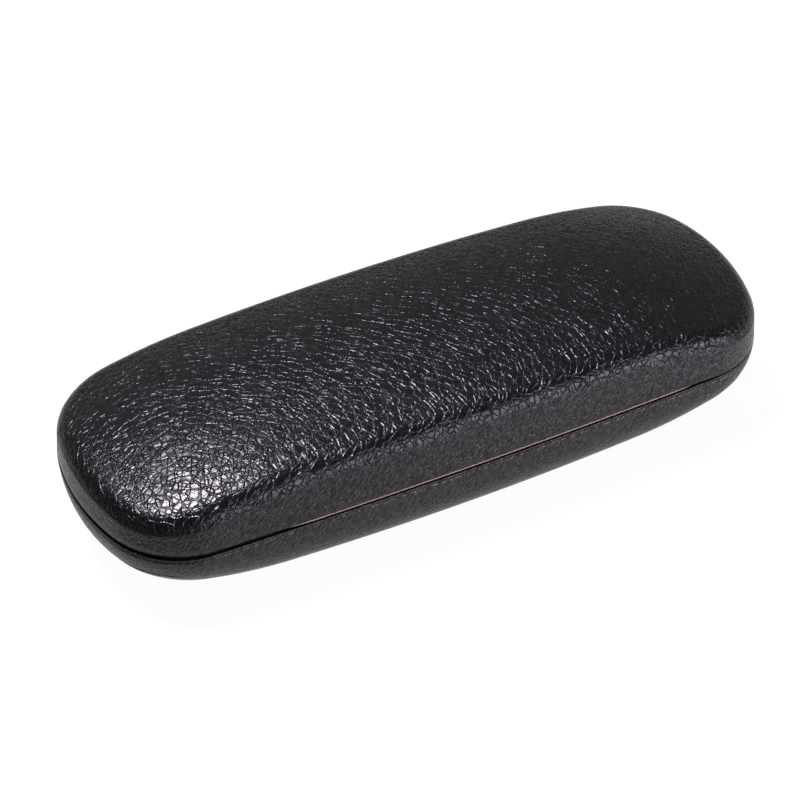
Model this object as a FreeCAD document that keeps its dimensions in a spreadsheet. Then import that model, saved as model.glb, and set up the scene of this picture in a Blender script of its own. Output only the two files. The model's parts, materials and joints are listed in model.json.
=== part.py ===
import FreeCAD, Part
import math
import os
import Sketcher
from FreeCAD import Placement, Rotation, Vector

# A hard clamshell eyeglasses case: two pressed steel bowls covered in leather, lined, and joined at the
# back by a knuckle hinge with two snap springs.
#
# Frame: +X runs along the case, -Y is the front that opens, +Y is the hinge side, +Z is up. The origin is
# the centre of the flat rest land under the base. Each bowl, and each layer of it, is drawn as a dome that
# rises from the seam plane; the base is the same construction turned over about the Y axis.

DIMENSIONS = {
    # outline of the seam: two side arcs, two end arcs and four corner arcs
    "half_length": 80.0,
    "half_width": 29.35,
    "side_radius": 1685.0,
    "end_radius": 55.4,
    "corner_radius": 18.9,
    "wall_draft": 3.0,
    # lid crown: a long middle arc that rolls off towards both ends, and an arc across
    "lid_height": 18.2,
    "lid_long_radius": 900.0,
    "lid_long_angle": 2.62,
    "lid_roll_radius": 124.0,
    "lid_cross_radius": 93.6,
    "lid_shoulder": 5.0,
    # base crown, measured down from the seam plane
    "base_height": 20.0,
    "base_long_radius": 900.0,
    "base_long_angle": 2.72,
    "base_roll_radius": 94.6,
    "base_cross_radius": 60.0,
    "base_shoulder": 12.3,
    "rest_depth": 19.6,
    # layers, from the outside in
    "cover_thick": 1.0,
    "glue_line": 0.05,
    "steel_thick": 0.5,
    "padding_thick": 0.9,
    "liner_thick": 0.8,
    # rims, measured from the seam plane
    "flange_start": 0.03,
    "cover_start": 0.45,
    "base_cover_start": 0.12,
    "fold_thick": 0.6,
    "flange_setback": 0.25,
    "padding_start": 6.5,
    # collar glued inside the base, standing proud to locate the lid
    "collar_gap": 0.2,
    "collar_thick": 0.6,
    "collar_proud": 1.2,
    "collar_deep": 3.5,
    "collar_end": 10.0,
    # hinge
    "pivot_y": 28.14,
    "bevel_angle": 54.0,
    "pin_radius": 0.75,
    "fixed_bore": 0.76,
    "running_bore": 0.79,
    "pin_head_radius": 1.15,
    "pin_head_thick": 0.45,
    "pin_end_gap": 0.1,
    "knuckle_radius": 1.29,
    "knuckle_gap": 0.3,
    "leaf_thick": 0.5,
    "leaf_length": 62.0,
    "leaf_deep": 5.5,
    "leaf_edge": 1.65,
    "leaf_room": 0.6,
    "window_near": 0.4,
    "window_far": 4.3,
    "barrel_room": 0.45,
    "middle_knuckle": 12.0,
    "spring_window": 12.0,
    "window_width": 8.0,
    "end_knuckle": 25.7,
    # rivets, four to a leaf
    "rivet_pitch": 18.0,
    "rivet_height": 3.7,
    "rivet_radius": 1.0,
    "rivet_room": 0.02,
    "rivet_reach": 0.72,
    "rivet_head_radius": 1.7,
    "rivet_head_thick": 0.3,
    # snap springs
    "spring_x": 16.0,
    "spring_width": 5.0,
    "spring_thick": 0.3,
    "spring_radius": 4.24,
    "spring_centre": 28.84,
    "spring_half_angle": 65.0,
    "slot_low": 3.2,
    "slot_high": 4.3,
    "slot_width": 5.6,
}

doc = FreeCAD.newDocument("eyeglasses_case")
sheet = doc.addObject("Spreadsheet::Sheet", "dims")
for row, (alias, value) in enumerate(DIMENSIONS.items(), start=1):
    sheet.set(f"A{row}", alias)
    sheet.set(f"B{row}", str(value))
    sheet.setAlias(f"B{row}", alias)
doc.recompute()

CROWN_MARGIN = 30.0      # how far a crown cutter reaches above the crown
SIDE_MARGIN = 5.0        # how far a crown cutter reaches past the sides
TOP_MARGIN = 1.0         # how far a dome's blank stands above its crown
END_SWEEP = 40.0         # degrees that the end roll cutter turns through
RIVETS = 4               # to a leaf
COVER_INSET = []
SHELL_INSET = ["cover_thick", "glue_line"]
PADDING_INSET = SHELL_INSET + ["steel_thick", "glue_line"]
LINER_INSET = PADDING_INSET + ["padding_thick", "glue_line"]
HOLLOW_INSET = LINER_INSET + ["liner_thick"]


def size(alias):
    return float(sheet.get(alias))


def total(terms):
    return sum(size(term) for term in terms)


def less(alias, terms):
    """Expression for a driving dimension with the layers of an inset taken off."""
    return " - ".join(["dims." + alias] + ["dims." + term for term in terms])


def origin_plane(body, role):
    return next(f for f in body.Origin.OriginFeatures if f.Role == role)


def new_sketch(body, name, role):
    sketch = body.newObject("Sketcher::SketchObject", name)
    sketch.AttachmentSupport = [(origin_plane(body, role), "")]
    sketch.MapMode = "FlatFace"
    return sketch


def drive(sketch, constraint, expression, name):
    """Adds a dimensional constraint and binds it to the sheet."""
    index = sketch.addConstraint(constraint)
    sketch.renameConstraint(index, name)
    sketch.setExpression("Constraints." + name, expression)


def arc(centre, radius, start, end):
    return Part.ArcOfCircle(Part.Circle(centre, Vector(0, 0, 1), radius), start, end)


def polygon(sketch, points):
    """Adds a closed run of straight lines and gives the number of the first."""
    first = sketch.GeometryCount
    count = len(points)
    for i in range(count):
        sketch.addGeometry(Part.LineSegment(points[i], points[(i + 1) % count]), False)
    for i in range(count):
        sketch.addConstraint(Sketcher.Constraint("Coincident", first + i, 2, first + (i + 1) % count, 1))
    return first


def stepped(sketch, points):
    """A polygon whose lines run level and upright by turns, starting level."""
    first = polygon(sketch, points)
    for i in range(len(points)):
        sketch.addConstraint(Sketcher.Constraint("Vertical" if i % 2 else "Horizontal", first + i))
    return first


def corner_centre():
    """Centre of the corner arc that touches both the side arc and the end arc."""
    side_centre = Vector(0, size("half_width") - size("side_radius"), 0)
    end_centre = Vector(size("half_length") - size("end_radius"), 0, 0)
    side_reach = size("side_radius") - size("corner_radius")
    end_reach = size("end_radius") - size("corner_radius")
    across = end_centre - side_centre
    along = (side_reach ** 2 - end_reach ** 2 + across.Length ** 2) / (2 * across.Length)
    offset = math.sqrt(side_reach ** 2 - along ** 2)
    unit = across.normalize()
    return side_centre + unit * along + Vector(unit.y, -unit.x, 0) * offset


def outline(sketch, inset):
    """The eight-arc oval of the seam, moved inwards by the layers in inset."""
    taken = total(inset)
    a_centre = size("half_length") - size("end_radius")
    b_centre = size("half_width") - size("side_radius")
    corner = corner_centre()
    side_tilt = math.atan2(corner.y - b_centre, corner.x)
    end_tilt = math.atan2(corner.y, corner.x - a_centre)
    radii = {key: size(key + "_radius") - taken for key in ("side", "end", "corner")}
    arcs = []
    for turn in (0, 1):
        flip = 1 - 2 * turn
        start = turn * math.pi
        ends = Vector(flip * a_centre, 0, 0)
        sides = Vector(0, flip * b_centre, 0)
        first = Vector(flip * corner.x, flip * corner.y, 0)
        second = Vector(-flip * corner.x, flip * corner.y, 0)
        arcs.append(arc(ends, radii["end"], start - end_tilt, start + end_tilt))
        arcs.append(arc(first, radii["corner"], start + end_tilt, start + side_tilt))
        arcs.append(arc(sides, radii["side"], start + side_tilt, start + math.pi - side_tilt))
        arcs.append(arc(second, radii["corner"], start + math.pi - side_tilt, start + math.pi - end_tilt))
    sketch.addGeometry(arcs, False)
    count = len(arcs)
    for i in range(count):
        sketch.addConstraint(Sketcher.Constraint("Tangent", i, 2, (i + 1) % count, 1))
    for i in (0, 4):
        sketch.addConstraint(Sketcher.Constraint("PointOnObject", i, 3, -1))
    for i in (2, 6):
        sketch.addConstraint(Sketcher.Constraint("PointOnObject", i, 3, -2))
    for first, others in ((0, (4,)), (2, (6,)), (1, (3, 5, 7))):
        for other in others:
            sketch.addConstraint(Sketcher.Constraint("Equal", first, other))
    for i, key in ((0, "end"), (2, "side"), (1, "corner")):
        drive(sketch, Sketcher.Constraint("Radius", i, radii[key]), less(key + "_radius", inset), key)
    drive(sketch, Sketcher.Constraint("DistanceX", -1, 1, 0, 3, a_centre),
          "dims.half_length - dims.end_radius", "end_centre")
    drive(sketch, Sketcher.Constraint("DistanceX", 4, 3, -1, 1, a_centre),
          "dims.half_length - dims.end_radius", "far_end_centre")
    drive(sketch, Sketcher.Constraint("DistanceY", 2, 3, -1, 1, -b_centre),
          "dims.side_radius - dims.half_width", "side_centre")
    drive(sketch, Sketcher.Constraint("DistanceY", -1, 1, 6, 3, -b_centre),
          "dims.side_radius - dims.half_width", "far_side_centre")


def crown_section(sketch, half, long_radius, inset):
    """Section of the space above the crown, with the revolving axis on the sketch's own H axis."""
    cross = size(half + "_cross_radius") - total(inset)
    top = size(long_radius) - total(inset)
    reach = size("half_width") + SIDE_MARGIN
    centre = top - cross
    edge = centre + math.sqrt(cross ** 2 - reach ** 2)
    start = math.atan2(edge - centre, reach)
    roof = top + CROWN_MARGIN
    left, right = Vector(-reach, roof, 0), Vector(reach, roof, 0)
    sketch.addGeometry([
        arc(Vector(0, centre, 0), cross, start, math.pi - start),
        Part.LineSegment(Vector(-reach, edge, 0), left),
        Part.LineSegment(left, right),
        Part.LineSegment(right, Vector(reach, edge, 0)),
    ], False)
    for i in range(4):
        sketch.addConstraint(Sketcher.Constraint("Coincident", i, 2, (i + 1) % 4, 1))
    sketch.addConstraint(Sketcher.Constraint("PointOnObject", 0, 3, -2))
    sketch.addConstraint(Sketcher.Constraint("Vertical", 1))
    sketch.addConstraint(Sketcher.Constraint("Vertical", 3))
    sketch.addConstraint(Sketcher.Constraint("Symmetric", 1, 2, 2, 2, -2))
    drive(sketch, Sketcher.Constraint("Radius", 0, cross), less(half + "_cross_radius", inset), "across")
    drive(sketch, Sketcher.Constraint("DistanceY", -1, 1, 0, 3, centre),
          f"dims.{long_radius} - dims.{half}_cross_radius", "centre")
    drive(sketch, Sketcher.Constraint("DistanceX", -1, 1, 3, 2, reach),
          f"dims.half_width + {SIDE_MARGIN}", "reach")
    drive(sketch, Sketcher.Constraint("DistanceY", -1, 1, 2, 2, roof),
          f"{less(long_radius, inset)} + {CROWN_MARGIN}", "roof")


def groove(body, name, sketch, angle, middle, reverse):
    cut = body.newObject("PartDesign::Groove", name)
    cut.Profile = sketch
    cut.ReferenceAxis = (sketch, ["H_Axis"])
    cut.Midplane = middle
    cut.Reversed = reverse
    cut.setExpression("Angle", angle)
    return cut


def dome(name, half, inset):
    """One surface of the lid or the base as a solid: tapered pad, crown cut to a torus, rolled shoulder."""
    body = doc.addObject("PartDesign::Body", name)
    plan = new_sketch(body, name + "_plan", "XY_Plane")
    outline(plan, inset)
    pad = body.newObject("PartDesign::Pad", name + "_pad")
    pad.Profile = plan
    pad.setExpression("Length", f"dims.{half}_height + {TOP_MARGIN}")
    pad.setExpression("TaperAngle", "-dims.wall_draft")

    middle = new_sketch(body, name + "_crown", "YZ_Plane")
    crown_section(middle, half, half + "_long_radius", inset)
    middle.setExpression("AttachmentOffset.Base.y", f"dims.{half}_height - dims.{half}_long_radius")
    groove(body, name + "_crown_cut", middle, f"2 * dims.{half}_long_angle", True, False)
    step = f"(dims.{half}_long_radius - dims.{half}_roll_radius)"
    tilt = f"dims.{half}_long_angle * 1 deg"
    for word, sign, reverse in (("right", "", False), ("left", "-", True)):
        end = new_sketch(body, f"{name}_{word}_roll", "YZ_Plane")
        crown_section(end, half, half + "_roll_radius", inset)
        end.AttachmentOffset = Placement(Vector(0, 0, 0), Rotation(Vector(1, 0, 0), 1))
        end.setExpression("AttachmentOffset.Rotation.Angle", sign + tilt)
        end.setExpression("AttachmentOffset.Base.y",
                          f"dims.{half}_height - dims.{half}_long_radius + {step} * cos({tilt})")
        end.setExpression("AttachmentOffset.Base.z", f"{sign}{step} * sin({tilt})")
        groove(body, f"{name}_{word}_cut", end, str(END_SWEEP), False, reverse)
    doc.recompute()

    crown = body.Tip.Shape
    edges = []
    for number, edge in enumerate(crown.Edges, start=1):
        faces = crown.ancestorsOfType(edge, Part.Face)
        kinds = {type(face.Surface).__name__ for face in faces}
        if "Toroid" in kinds and len(kinds) > 1:
            edges.append(f"Edge{number}")
    shoulder = body.newObject("PartDesign::Fillet", name + "_shoulder")
    shoulder.Base = (body.Group[-2], edges)
    shoulder.setExpression("Radius", less(half + "_shoulder", inset))
    doc.recompute()
    return body


def prism(name, inset, low, high):
    """The seam outline padded straight, from low to high."""
    body = doc.addObject("PartDesign::Body", name)
    plan = new_sketch(body, name + "_plan", "XY_Plane")
    outline(plan, inset)
    plan.setExpression("AttachmentOffset.Base.z", low)
    pad = body.newObject("PartDesign::Pad", name + "_pad")
    pad.Profile = plan
    pad.setExpression("Length", f"({high}) - ({low})")
    return body


def cut(name, base, tool):
    result = doc.addObject("Part::Cut", name)
    result.Base = base
    result.Tool = tool
    return result


def common(name, base, tool):
    result = doc.addObject("Part::Common", name)
    result.Base = base
    result.Tool = tool
    return result


def fuse(name, *shapes):
    result = doc.addObject("Part::MultiFuse", name)
    result.Shapes = list(shapes)
    return result


def block(name, length, width, height, x, y, z):
    """A box from expressions: its sizes, and its lowest corner."""
    box = doc.addObject("Part::Box", name)
    for key, expression in (("Length", length), ("Width", width), ("Height", height)):
        box.setExpression(key, expression)
    for key, expression in (("x", x), ("y", y), ("z", z)):
        box.setExpression("Placement.Base." + key, expression)
    return box


def slab(name, low, high):
    """Everything between two heights above the seam plane."""
    wide = "4 * dims.half_length"
    return block(name, wide, wide, f"({high}) - ({low})", "-2 * dims.half_length", "-2 * dims.half_length", low)


def rod(name, radius, length, x):
    """A round bar along the pivot, starting at x."""
    bar = doc.addObject("Part::Cylinder", name)
    bar.setExpression("Radius", radius)
    bar.setExpression("Height", length)
    bar.Placement.Rotation = Rotation(Vector(0, 1, 0), 90)
    bar.setExpression("Placement.Base.x", x)
    bar.setExpression("Placement.Base.y", "dims.pivot_y")
    return bar


def rear_wedge(name):
    """Bevels the rear rims through the pivot, so that they meet flat when the lid is fully open."""
    body = doc.addObject("PartDesign::Body", name)
    section = new_sketch(body, name + "_section", "YZ_Plane")
    pivot = size("pivot_y")
    reach = size("half_width")
    rise = reach * math.tan(math.radians(size("bevel_angle")))
    corners = [Vector(pivot, 0, 0), Vector(pivot + reach, 0, 0), Vector(pivot + reach, rise, 0)]
    polygon(section, corners)
    section.addConstraint(Sketcher.Constraint("Horizontal", 0))
    section.addConstraint(Sketcher.Constraint("Vertical", 1))
    section.addConstraint(Sketcher.Constraint("PointOnObject", 0, 1, -1))
    drive(section, Sketcher.Constraint("DistanceX", -1, 1, 0, 1, pivot), "dims.pivot_y", "pivot")
    drive(section, Sketcher.Constraint("DistanceX", 0, 1, 0, 2, reach), "dims.half_width", "reach")
    drive(section, Sketcher.Constraint("DistanceY", 1, 1, 1, 2, rise),
          "dims.half_width * tan(dims.bevel_angle * 1 deg)", "rise")
    pad = body.newObject("PartDesign::Pad", name + "_pad")
    pad.Profile = section
    pad.setExpression("Length", "4 * dims.half_length")
    pad.Midplane = True
    return body


def rectangles(sketch, spans):
    """Closed rectangles in a sketch; each span is four expressions: x low, x high, z low, z high."""
    for number, span in enumerate(spans):
        x_low, x_high, z_low, z_high = [sheet_value(expression) for expression in span]
        corners = [Vector(x_low, z_low, 0), Vector(x_high, z_low, 0), Vector(x_high, z_high, 0),
                   Vector(x_low, z_high, 0)]
        first = stepped(sketch, corners)
        place(sketch, first, 1, "x", span[0], f"x_low_{number}")
        place(sketch, first, 2, "x", span[1], f"x_high_{number}")
        place(sketch, first, 1, "y", span[2], f"z_low_{number}")
        place(sketch, first + 2, 1, "y", span[3], f"z_high_{number}")


def sheet_value(expression):
    """The number that an expression in sheet aliases stands for."""
    probe = sheet.evalExpression(expression)
    return float(getattr(probe, "Value", probe))


def place(sketch, geometry, point, axis, expression, name):
    """Dimensions a point from the sketch origin along one axis, either side of it."""
    value = sheet_value(expression)
    kind = "DistanceX" if axis == "x" else "DistanceY"
    if value >= 0:
        drive(sketch, Sketcher.Constraint(kind, -1, 1, geometry, point, value), expression, name)
    else:
        drive(sketch, Sketcher.Constraint(kind, geometry, point, -1, 1, -value), f"-({expression})", name)


def leaf(name, bore, spans):
    """A hinge leaf: a strip curled round the pin, with the other leaf's knuckles and the slots cut out."""
    body = doc.addObject("PartDesign::Body", name)
    section = new_sketch(body, name + "_section", "YZ_Plane")
    radius = size("knuckle_radius")
    face = radius - size("leaf_thick")
    deep = size("leaf_deep")
    foot = math.sqrt(radius ** 2 - face ** 2)
    finish = math.atan2(foot, -face)
    section.addGeometry([
        Part.LineSegment(Vector(-radius, deep, 0), Vector(-radius, 0, 0)),
        arc(Vector(0, 0, 0), radius, -math.pi, finish),
        Part.LineSegment(Vector(-face, foot, 0), Vector(-face, deep, 0)),
        Part.LineSegment(Vector(-face, deep, 0), Vector(-radius, deep, 0)),
        Part.Circle(Vector(0, 0, 0), Vector(0, 0, 1), size(bore)),
    ], False)
    section.addConstraint(Sketcher.Constraint("Coincident", 1, 3, -1, 1))
    section.addConstraint(Sketcher.Constraint("Coincident", 4, 3, -1, 1))
    section.addConstraint(Sketcher.Constraint("Coincident", 0, 2, 1, 1))
    section.addConstraint(Sketcher.Constraint("Coincident", 1, 2, 2, 1))
    section.addConstraint(Sketcher.Constraint("Coincident", 2, 2, 3, 1))
    section.addConstraint(Sketcher.Constraint("Coincident", 3, 2, 0, 1))
    section.addConstraint(Sketcher.Constraint("Vertical", 0))
    section.addConstraint(Sketcher.Constraint("Vertical", 2))
    section.addConstraint(Sketcher.Constraint("Horizontal", 3))
    section.addConstraint(Sketcher.Constraint("PointOnObject", 0, 2, -1))
    drive(section, Sketcher.Constraint("Radius", 1, radius), "dims.knuckle_radius", "curl")
    drive(section, Sketcher.Constraint("Radius", 4, size(bore)), "dims." + bore, "bore")
    drive(section, Sketcher.Constraint("DistanceX", 3, 2, 3, 1, radius - face), "dims.leaf_thick", "strip")
    drive(section, Sketcher.Constraint("DistanceY", -1, 1, 3, 1, deep), "dims.leaf_deep", "deep")
    pad = body.newObject("PartDesign::Pad", name + "_strip")
    pad.Profile = section
    pad.setExpression("Length", "dims.leaf_length")
    pad.Midplane = True

    openings = new_sketch(body, name + "_openings", "XZ_Plane")
    slots = [(f"{side}dims.spring_x - dims.slot_width / 2", f"{side}dims.spring_x + dims.slot_width / 2",
              "dims.slot_low", "dims.slot_high") for side in ("", "-")]
    rectangles(openings, spans + slots)
    for number in range(RIVETS):
        spot = rivet_spot(number)
        index = openings.addGeometry(
            Part.Circle(Vector(sheet_value(spot), size("rivet_height"), 0), Vector(0, 0, 1),
                        size("rivet_radius") + size("rivet_room")), False)
        drive(openings, Sketcher.Constraint("Radius", index, size("rivet_radius") + size("rivet_room")),
              "dims.rivet_radius + dims.rivet_room", f"hole_{number}")
        place(openings, index, 3, "x", spot, f"hole_x_{number}")
        place(openings, index, 3, "y", "dims.rivet_height", f"hole_z_{number}")
    pocket = body.newObject("PartDesign::Pocket", name + "_cut_out")
    pocket.Profile = openings
    pocket.Midplane = True
    pocket.Type = "Length"
    pocket.setExpression("Length", "8 * dims.knuckle_radius")
    return body


def rivet_spot(number):
    """Expression for a rivet's place along the leaf."""
    return f"{number - (RIVETS - 1) / 2} * dims.rivet_pitch"


def lean(piece):
    """Turns a piece drawn square to the pivot to the slope of the rear wall, and moves it to the pivot."""
    piece.Placement = Placement(Vector(0, size("pivot_y"), 0), Rotation(Vector(1, 0, 0), size("wall_draft")))


def rivet_holes(name):
    """Tool for the rivet holes of a shell."""
    bars = []
    for number in range(RIVETS):
        bar = doc.addObject("Part::Cylinder", f"{name}_{number}")
        bar.setExpression("Radius", "dims.rivet_radius + dims.rivet_room")
        bar.setExpression("Height", "2 * dims.knuckle_radius")
        bar.Placement.Rotation = Rotation(Vector(1, 0, 0), -90)
        bar.setExpression("Placement.Base.x", rivet_spot(number))
        bar.setExpression("Placement.Base.y", "-dims.knuckle_radius")
        bar.setExpression("Placement.Base.z", "dims.rivet_height")
        bars.append(bar)
    row = fuse(name, *bars)
    lean(row)
    return row


def rivet_row(name):
    """Four flat rivets along a leaf, drawn square to it."""
    body = doc.addObject("PartDesign::Body", name)
    body.AllowCompound = True
    section = new_sketch(body, name + "_section", "XY_Plane")
    section.setExpression("AttachmentOffset.Base.z", "dims.rivet_height")
    face = "-dims.knuckle_radius"
    inner = f"{face} - dims.rivet_head_thick"
    outer = f"{face} + dims.leaf_thick + dims.rivet_reach"
    start = rivet_spot(0)
    names = [(start, inner), (f"{start} + dims.rivet_head_radius", inner),
             (f"{start} + dims.rivet_head_radius", face), (f"{start} + dims.rivet_radius", face),
             (f"{start} + dims.rivet_radius", outer), (start, outer)]
    stepped(section, [Vector(sheet_value(x), sheet_value(y), 0) for x, y in names])
    for i, axis in ((0, "x"), (1, "x"), (3, "x"), (0, "y"), (2, "y"), (4, "y")):
        place(section, i, 1, axis, names[i][0 if axis == "x" else 1], f"{axis}_{i}")
    turn = body.newObject("PartDesign::Revolution", name + "_rivet")
    turn.Profile = section
    turn.ReferenceAxis = (section, [f"Edge{len(names)}"])
    turn.Angle = 360
    doc.recompute()
    row = body.newObject("PartDesign::LinearPattern", name + "_row")
    row.Originals = [turn]
    row.Direction = (origin_plane(body, "X_Axis"), [""])
    row.setExpression("Length", f"{RIVETS - 1} * dims.rivet_pitch")
    row.Occurrences = RIVETS
    body.Tip = row
    return body


def snap_spring(name):
    """A C-shaped leaf spring; its two ends hook into the slots of the leaves."""
    body = doc.addObject("PartDesign::Body", name)
    section = new_sketch(body, name + "_section", "YZ_Plane")
    outer = size("spring_radius")
    inner = outer - size("spring_thick")
    half = math.radians(size("spring_half_angle"))
    low, high = math.pi - half, math.pi + half
    ray_low = Vector(math.cos(low), math.sin(low), 0)
    ray_high = Vector(math.cos(high), math.sin(high), 0)
    section.addGeometry([
        arc(Vector(0, 0, 0), outer, low, high),
        Part.LineSegment(ray_high * outer, ray_high * inner),
        arc(Vector(0, 0, 0), inner, low, high),
        Part.LineSegment(ray_low * inner, ray_low * outer),
    ], False)
    for i in (0, 2):
        section.addConstraint(Sketcher.Constraint("Coincident", i, 3, -1, 1))
    section.addConstraint(Sketcher.Constraint("Coincident", 0, 2, 1, 1))
    section.addConstraint(Sketcher.Constraint("Coincident", 1, 2, 2, 2))
    section.addConstraint(Sketcher.Constraint("Coincident", 2, 1, 3, 1))
    section.addConstraint(Sketcher.Constraint("Coincident", 3, 2, 0, 1))
    section.addConstraint(Sketcher.Constraint("Symmetric", 0, 1, 0, 2, -1))
    section.addConstraint(Sketcher.Constraint("Symmetric", 2, 1, 2, 2, -1))
    section.addConstraint(Sketcher.Constraint("PointOnObject", -1, 1, 1))
    drive(section, Sketcher.Constraint("Radius", 0, outer), "dims.spring_radius", "outer")
    drive(section, Sketcher.Constraint("Radius", 2, inner), "dims.spring_radius - dims.spring_thick", "inner")
    drive(section, Sketcher.Constraint("DistanceX", 0, 1, -1, 1, outer * math.cos(half)),
          "dims.spring_radius * cos(dims.spring_half_angle * 1 deg)", "mouth")
    pad = body.newObject("PartDesign::Pad", name + "_strip")
    pad.Profile = section
    pad.setExpression("Length", "dims.spring_width")
    pad.Midplane = True
    return body


def hinge_pin(name):
    """The pin, with a peened head at each end of the barrel."""
    body = doc.addObject("PartDesign::Body", name)
    section = new_sketch(body, name + "_section", "XY_Plane")
    shank = "dims.leaf_length / 2 + dims.pin_end_gap"
    tip = shank + " + dims.pin_head_thick"
    names = [("-(" + tip + ")", "0"), (tip, "0"), (tip, "dims.pin_head_radius"),
             (shank, "dims.pin_head_radius"), (shank, "dims.pin_radius"), ("-(" + shank + ")", "dims.pin_radius"),
             ("-(" + shank + ")", "dims.pin_head_radius"), ("-(" + tip + ")", "dims.pin_head_radius")]
    stepped(section, [Vector(sheet_value(x), sheet_value(y), 0) for x, y in names])
    section.addConstraint(Sketcher.Constraint("PointOnObject", 0, 1, -1))
    for i, axis in ((0, "x"), (1, "x"), (3, "x"), (5, "x"), (2, "y"), (4, "y"), (6, "y")):
        place(section, i, 1, axis, names[i][0 if axis == "x" else 1], f"{axis}_{i}")
    turn = body.newObject("PartDesign::Revolution", name + "_turned")
    turn.Profile = section
    turn.ReferenceAxis = (section, ["H_Axis"])
    turn.Angle = 360
    return body


def finish(piece, label, half, x="0", y="0", tilt=0.0):
    """Names a piece and sets it in the case: lid pieces stand up, base pieces are turned over about Y."""
    piece.Label = label
    over = Rotation(Vector(0, 1, 0), 180 if half == "base" else 0)
    piece.Placement.Rotation = over * Rotation(Vector(1, 0, 0), tilt)
    piece.setExpression("Placement.Base.x", x)
    piece.setExpression("Placement.Base.y", y)
    piece.setExpression("Placement.Base.z", "dims.rest_depth")
    pieces.append(piece)


def half_case(half, cover_start):
    """Cover, shell, padding and liner of one bowl, from its nested domes."""
    skin = dome(half + "_skin", half, COVER_INSET)
    pocket = dome(half + "_pocket", half, ["cover_thick"])
    steel_out = dome(half + "_steel_out", half, SHELL_INSET)
    steel_in = dome(half + "_steel_in", half, SHELL_INSET + ["steel_thick"])
    padding_out = dome(half + "_padding_out", half, PADDING_INSET)
    padding_in = dome(half + "_padding_in", half, PADDING_INSET + ["padding_thick"])
    liner_out = dome(half + "_liner_out", half, LINER_INSET)
    hollow = dome(half + "_hollow", half, HOLLOW_INSET)

    wedge = rear_wedge(half + "_wedge")
    notch = rod(half + "_notch", "dims.knuckle_radius + dims.barrel_room",
                "dims.leaf_length + 2 * dims.pin_head_thick + 4 * dims.barrel_room",
                "-dims.leaf_length / 2 - dims.pin_head_thick - 2 * dims.barrel_room")
    window = block(half + "_leaf_window", "dims.leaf_length + 2 * dims.leaf_room",
                   "dims.window_far - dims.window_near", "2 * (dims.leaf_deep + dims.leaf_room)",
                   "-dims.leaf_length / 2 - dims.leaf_room", "dims.pivot_y - dims.window_far",
                   "-dims.leaf_deep - dims.leaf_room")
    holes = rivet_holes(half + "_rivet_holes")

    rim = slab(half + "_rim", "-dims.half_length", cover_start)
    fold = slab(half + "_fold", "-dims.half_length", f"{cover_start} + dims.fold_thick")
    steel_rim = slab(half + "_steel_rim", "-dims.half_length",
                     f"{cover_start} + dims.fold_thick + dims.glue_line")
    cover_hollow = fuse(half + "_cover_hollow", cut(half + "_steel_pocket", pocket, fold), padding_in,
                        rim, wedge, notch, window)
    cover = cut(half + "_cover_whole", skin, cover_hollow)
    shell_hollow = fuse(half + "_shell_hollow", steel_in, steel_rim, wedge, notch, holes)
    shell = cut(half + "_shell", steel_out, shell_hollow)
    padding_rim = slab(half + "_padding_rim", "-dims.half_length", "dims.padding_start")
    padding = cut(half + "_padding", padding_out, fuse(half + "_padding_hollow", padding_in, padding_rim))
    liner_cuts = fuse(half + "_liner_cuts", hollow, wedge, notch, window)
    return cover, shell, padding, liner_out, liner_cuts


def lid():
    cover, shell, padding, liner_out, liner_cuts = half_case("lid", "dims.cover_start")
    edge = dome("lid_flange_edge", "lid", ["flange_setback"])
    layer = slab("lid_flange_layer", "dims.flange_start", "dims.cover_start - dims.glue_line")
    above = slab("lid_liner_above", "dims.flange_start", "2 * dims.lid_height")
    tray = cut("lid_tray", common("lid_tray_blank", liner_out, above), liner_cuts)
    flange = cut("lid_flange", common("lid_flange_blank", edge, layer), liner_cuts)
    liner = fuse("lid_liner_fuse", tray, flange)
    finish(cover, "lid_cover", "lid")
    finish(shell, "lid_shell", "lid")
    finish(padding, "lid_padding", "lid")
    finish(liner, "lid_liner", "lid")


def base():
    cover, shell, padding, liner_out, liner_cuts = half_case("base", "dims.base_cover_start")
    ground = slab("base_ground", "dims.rest_depth", "2 * dims.rest_depth")
    finish(cut("base_cover_cut", cover, ground), "base_cover", "base")
    finish(shell, "base_shell", "base")
    finish(padding, "base_padding", "base")
    finish(cut("base_liner_cut", liner_out, liner_cuts), "base_liner", "base")

    outside = HOLLOW_INSET + ["collar_gap"]
    inside = outside + ["collar_thick"]
    blank = prism("base_collar_blank", outside, "-dims.collar_proud", "dims.collar_deep")
    hollow = prism("base_collar_hollow", inside, "-2 * dims.collar_proud", "2 * dims.collar_deep")
    rear = block("base_collar_rear", "4 * dims.half_length", "dims.half_length", "dims.half_length",
                 "-2 * dims.half_length", "dims.collar_end", "-dims.half_length / 2")
    room = fuse("base_collar_room", dome("base_collar_side", "base", HOLLOW_INSET + ["glue_line"]),
                slab("base_collar_neck", "-2 * dims.collar_proud", "0"))
    ring = common("base_collar_ring", blank, room)
    collar = cut("base_collar_cut", ring, fuse("base_collar_cuts", hollow, rear))
    finish(collar, "base_collar", "base")


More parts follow.
